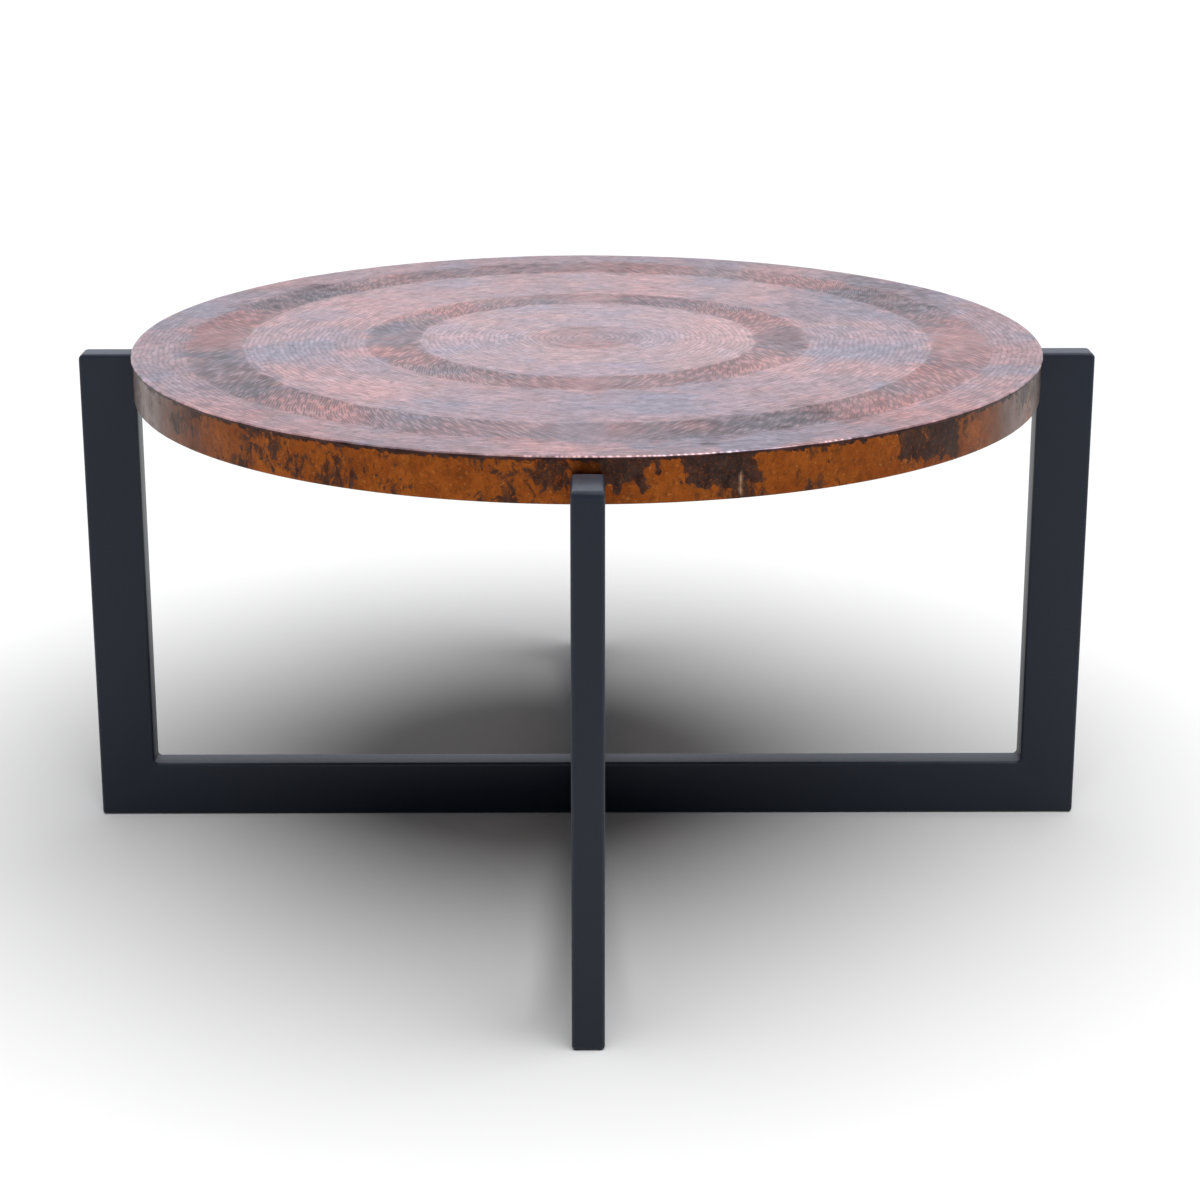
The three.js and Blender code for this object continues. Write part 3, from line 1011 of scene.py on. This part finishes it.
# Dark patches of the band: bearing from the front, half width, lower and upper level as shares of the
# band's height, and strength.
BAND_PATCHES = [
    (-34, 3.0, 0, 0.5, 0.50), (-28, 2.6, 0, 0.45, 0.52), (-21, 2.0, 0, 0.35, 0.48),
    (-4, 2.5, 0.3, 1.0, 0.6), (4, 3.5, 0.35, 1.0, 0.9), (14, 4.6, 0.3, 1.0, 1.0),
    (39, 2.2, 0.25, 1.0, 0.8), (44, 3.6, 0.15, 1.0, 0.9), (-41, 2.0, 0.3, 1.0, 0.5),
    (-12, 2.5, 0.6, 1.0, 0.45), (26, 1.6, 0.75, 1.0, 0.5), (-55, 4.0, 0.2, 0.9, 0.5),
    (69, 2.5, 0.2, 1.0, 0.40), (85, 5.0, 0, 0.7, 0.8), (102, 3.0, 0.3, 1.0, 0.8),
    (118, 6.0, 0.2, 1.0, 0.9), (140, 4.0, 0, 0.6, 0.8), (158, 5.0, 0.3, 1.0, 0.9),
    (176, 3.0, 0.2, 1.0, 0.7), (-165, 5.0, 0, 0.7, 0.85), (-148, 3.0, 0.4, 1.0, 0.8),
    (-130, 6.0, 0.2, 1.0, 0.9), (-110, 3.5, 0, 0.6, 0.7), (-92, 4.0, 0.3, 1.0, 0.7),
]
# Painted reflection: paler grey stretches towards the band's sides, standing in for the surroundings
# they mirror: bearing, half width and strength.
BAND_LIMB_REFLECTIONS = [(-67, 10, 0.65), (-86, 12, 0.40), (61, 5, 0.7), (74, 7, 0.60)]


def band_profile():
    """Section of the band: how far in, at what level and how dented each point is."""
    profile = []
    foot = UNDERSIDE + BAND_FOOT_RADIUS
    for k in range(BAND_ROWS + 1):
        profile.append((0.0, BAND_TOP + (foot - BAND_TOP) * k / BAND_ROWS, 1.0))
    for k in range(1, BAND_FOOT_STEPS + 1):
        turn = k / BAND_FOOT_STEPS * math.pi / 2
        inset = BAND_FOOT_RADIUS * (1 - math.cos(turn))
        profile.append((-inset, UNDERSIDE + BAND_FOOT_RADIUS * (1 - math.sin(turn)), 1.0 - 0.16 * k))
    flange = BAND_THICKNESS + BAND_FLANGE
    for inset in (4, 7, 10, flange - 0.4):
        profile.append((-inset, UNDERSIDE, 0.0))
    profile.append((-flange, UNDERSIDE + 0.25, 0.0))
    profile.append((-flange, UNDERSIDE + BAND_THICKNESS, 0.0))
    profile.append((-BAND_THICKNESS - 0.3, UNDERSIDE + BAND_THICKNESS, 0.0))
    profile.append((-BAND_THICKNESS, UNDERSIDE + BAND_THICKNESS + 0.3, 0.0))
    profile.append((-BAND_THICKNESS, BAND_TOP, 0.0))
    return profile


def band_mesh():
    wave = Noise(31)
    count = int(2 * math.pi * BAND_RADIUS / (BAND_STEP * 1))
    even = np.arange(count) / count * 2 * math.pi
    columns = SEAM_BEARING % (2 * math.pi) + (LAP_HALF + np.array(LAP_COLUMNS)) / BAND_RADIUS
    angle = np.sort(np.concatenate([even, columns]))
    count = len(angle)
    off = from_seam(angle) * BAND_RADIUS
    drop = LAP_HALF - 0.15
    rise = smooth(-LAP_HALF, LAP_HALF - 1, off)
    lap = LAP_STEP * np.where(off > drop, 1 - smooth(drop, drop + 0.4, off), rise)
    profile = band_profile()
    arc = angle * BAND_RADIUS
    points = []
    for inset, level, share in profile:
        dents = 0.13 * wave.fractal(arc / 16, np.full(count, level / 13.0), 3) - 0.08
        ripple = 0.10 * wave.fractal(arc / 11, np.full(count, 77 + inset / 6), 2)
        ripple = ripple * (inset < -2) * (inset > -13)
        seam = lap * (share if level < LIP_BOTTOM - 0.4 else 0.0)
        points.append(polar(BAND_RADIUS + inset + dents * share + seam, angle, level + ripple))
    faces = []
    many = len(profile)
    for i in range(many):
        faces += ring_faces(i * count, count, ((i + 1) % many) * count, count)
    points = np.concatenate(points)
    mesh = mesh_of(points, faces)
    face_outwards(mesh)
    return mesh, points


def build_band():
    mesh, points = band_mesh()
    rag = Noise(33)
    turn = np.arctan2(points[:, 1], points[:, 0])
    level = points[:, 2]
    bearing = (np.degrees(turn - FRONT) + 180) % 360 - 180
    share = (level - UNDERSIDE) / (LIP_BOTTOM - UNDERSIDE)
    arc = np.radians(bearing) * BAND_RADIUS
    bend = 1.2 * rag.fractal(arc / 9, level / 12, 4)
    frayed = share + 0.16 * rag.fractal(arc / 7 + 9, level / 9, 3)
    dark_patch_and_lip_shade = np.zeros(len(points))
    for middle, half, low, high, amount in BAND_PATCHES:
        distance = np.abs((bearing + bend - middle + 180) % 360 - 180)
        across = 1 - smooth(half * 0.55, half * 1.25, distance)
        above = smooth(low - 0.12, low + 0.12, frayed)
        below = 1 - smooth(high - 0.05, high + 0.2, frayed)
        dark_patch_and_lip_shade = np.maximum(dark_patch_and_lip_shade, amount * across * above * below)
    dark_patch_and_lip_shade = np.maximum(dark_patch_and_lip_shade, 0.30 + 0.30 * rag.fractal(arc / 30, level / 30, 3))
    # Painted shade: a dark strip along the band's top, just under the sheet's lip, added to the dark
    # patches.
    shade_under_lip = share + 0.07 * rag.fractal(arc / 6 + 40, level / 60, 4)
    dark_patch_and_lip_shade = np.maximum(dark_patch_and_lip_shade, 1.1 * smooth(0.945, 1.0, shade_under_lip))
    painted_limb_reflection = np.zeros(len(points))
    for middle, half, amount in BAND_LIMB_REFLECTIONS:
        distance = np.abs((bearing - middle + 180) % 360 - 180)
        painted_limb_reflection = np.maximum(painted_limb_reflection, amount * (1 - smooth(half * 0.4, half * 1.3, distance)))
    run = smooth(0.04, 0.14, share) * (1 - smooth(0.46, 0.74, share))
    run = run * (0.75 + 0.5 * rag.fractal(level / 2.6, arc / 2, 2))
    off = from_seam(turn) * BAND_RADIUS - LAP_HALF
    solder = (1 - smooth(0.3, 1.3, np.abs(off))) * run
    # Painted shade: the band gets darker beyond about 40 degrees from the front, more on the left side.
    deep = (0.42 + 0.16 * (bearing < 0)) * smooth(34, 52, np.abs(bearing))
    deep = deep * (0.8 + 0.5 * rag.fractal(arc / 40, level / 40, 3))
    float_attribute(mesh, "solder", np.clip(solder, 0, 1))
    float_attribute(mesh, "deep", np.clip(deep, 0, 1))
    float_attribute(mesh, "dark_patch_and_lip_shade", dark_patch_and_lip_shade)
    float_attribute(mesh, "painted_limb_reflection", painted_limb_reflection)
    name, slot = "copper_edge_band_fired", "edge_copper"
    finish_piece(mesh, name, "top", edge_copper(), slot, "copper_edge_band", sharp=50)


build_band()


# ---------------- core, kept as the frame has it

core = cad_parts["top_core"]
core.data.materials.clear()
core.data.materials.append(fibreboard())


# ---------------- floor, light and camera

FLOOR_HALF = 40e3
# What polished surfaces mirror: the sky's radiance by the sine of the elevation, how much brighter it is
# behind the table than in front of it, and a glow round one direction.
SKY = [
    (0.00, (0.36, 0.38, 0.44)), (0.12, (0.55, 0.58, 0.66)), (0.28, (0.97, 1.02, 1.14)),
    (0.42, (1.06, 1.11, 1.22)), (0.58, (0.72, 0.75, 0.82)), (0.80, (0.58, 0.60, 0.64)),
    (1.00, (0.92, 0.93, 0.95)),
]
SKY_FRONT_TO_REAR = (-0.6, 0.6, 0.80, 1.22)
GLOW_TOWARD = Vector((0.45, -0.30, 0.85))
GLOW_EDGE = (0.88, 0.97)
GLOW_GAIN = 2.6
# What lights the matt surfaces, besides the lamp.
FILL = (0.160, 0.163, 0.174)
# The lamp over the table. Its power grows with the fourth power of the distance, so that the floor is
# evenly lit however far it is from the lamp.
LAMP_AT = (400, -680, 3450)
LAMP_ACROSS = 4400
LAMP_ENERGY = 0.97
LAMP_FALLOFF = 4.0

CAMERA_AT = (-0.4, -2114.6, 926.1)
CAMERA_YAW = 0.0056
CAMERA_PITCH = 0.2477
LENS = 72
SENSOR = 36
SHIFT = -0.16


def build_floor():
    half = FLOOR_HALF * MM
    corners = [(-half, -half, 0), (half, -half, 0), (half, half, 0), (-half, half, 0)]
    mesh = mesh_of(corners, [(0, 1, 2, 3)])
    g = Graph("pale_floor")
    g.set("Base Color", (0.80, 0.80, 0.80))
    g.set("Roughness", 0.9)
    g.set("Specular IOR Level", 0.0)
    mesh.materials.append(g.material)
    floor = bpy.data.objects.new("floor", mesh)
    bpy.context.scene.collection.objects.link(floor)


def build_world():
    """White to the camera, a sky with a glow to polished surfaces, and an even fill to the rest."""
    world = bpy.data.worlds.new("studio")
    bpy.context.scene.world = world
    world.use_nodes = True
    world.cycles.sampling_method = "NONE"
    tree = world.node_tree
    toward = tree.nodes.new("ShaderNodeTexCoord").outputs["Generated"]
    split = new_node(tree, "ShaderNodeSeparateXYZ", toward)
    ramp = new_node(tree, "ShaderNodeValToRGB", split.outputs["Z"])
    points = ramp.color_ramp.elements
    while len(points) < len(SKY):
        points.new(0.5)
    for point, (position, colour) in zip(points, SKY):
        point.position = position
        point.color = (*colour, 1)
    facing = new_node(tree, "ShaderNodeMapRange", split.outputs["Y"], *SKY_FRONT_TO_REAR)
    axis = GLOW_TOWARD.normalized()
    near = new_node(tree, "ShaderNodeVectorMath", toward, axis, operation="DOT_PRODUCT")
    glow = new_node(tree, "ShaderNodeMapRange", near.outputs["Value"], *GLOW_EDGE, 0.0, GLOW_GAIN)
    gain = new_node(tree, "ShaderNodeMath", facing.outputs[0], glow.outputs[0], operation="ADD")
    sky = new_node(tree, "ShaderNodeBackground", ramp.outputs["Color"], gain.outputs[0])
    fill = new_node(tree, "ShaderNodeBackground", FILL)
    white = tree.nodes["Background"]
    white.inputs["Color"].default_value = (1, 1, 1, 1)
    rays = tree.nodes.new("ShaderNodeLightPath").outputs
    kind = "ShaderNodeMixShader"
    unseen = new_node(tree, kind, rays["Is Glossy Ray"], fill.outputs[0], sky.outputs[0])
    seen = new_node(tree, kind, rays["Is Camera Ray"], unseen.outputs[0], white.outputs[0])
    tree.links.new(seen.outputs[0], tree.nodes["World Output"].inputs["Surface"])


def build_lamp():
    lamp = bpy.data.lights.new("overhead", "AREA")
    lamp.shape = "DISK"
    lamp.size = LAMP_ACROSS * MM
    lamp.energy = LAMP_ENERGY
    lamp.use_nodes = True
    tree = lamp.node_tree
    rays = tree.nodes.new("ShaderNodeLightPath")
    length = rays.outputs["Ray Length"]
    even = new_node(tree, "ShaderNodeMath", length, LAMP_FALLOFF, operation="POWER")
    tree.links.new(even.outputs[0], tree.nodes["Emission"].inputs["Strength"])
    softbox = bpy.data.objects.new("overhead", lamp)
    bpy.context.scene.collection.objects.link(softbox)
    softbox.location = Vector(LAMP_AT) * MM
    softbox.visible_camera = False
    softbox.visible_glossy = False


def build_camera():
    data = bpy.data.cameras.new("camera")
    camera = bpy.data.objects.new("camera", data)
    bpy.context.scene.collection.objects.link(camera)
    data.lens = LENS
    data.sensor_width = SENSOR
    data.shift_y = SHIFT
    data.dof.use_dof = False
    camera.location = Vector(CAMERA_AT) * MM
    level = math.cos(CAMERA_PITCH)
    x, y = math.sin(CAMERA_YAW) * level, math.cos(CAMERA_YAW) * level
    forward = Vector((x, y, -math.sin(CAMERA_PITCH)))
    camera.rotation_euler = forward.to_track_quat("-Z", "Y").to_euler()
    bpy.context.scene.camera = camera


build_floor()
build_world()
build_lamp()
build_camera()
bpy.context.scene.view_settings.view_transform = "Standard"
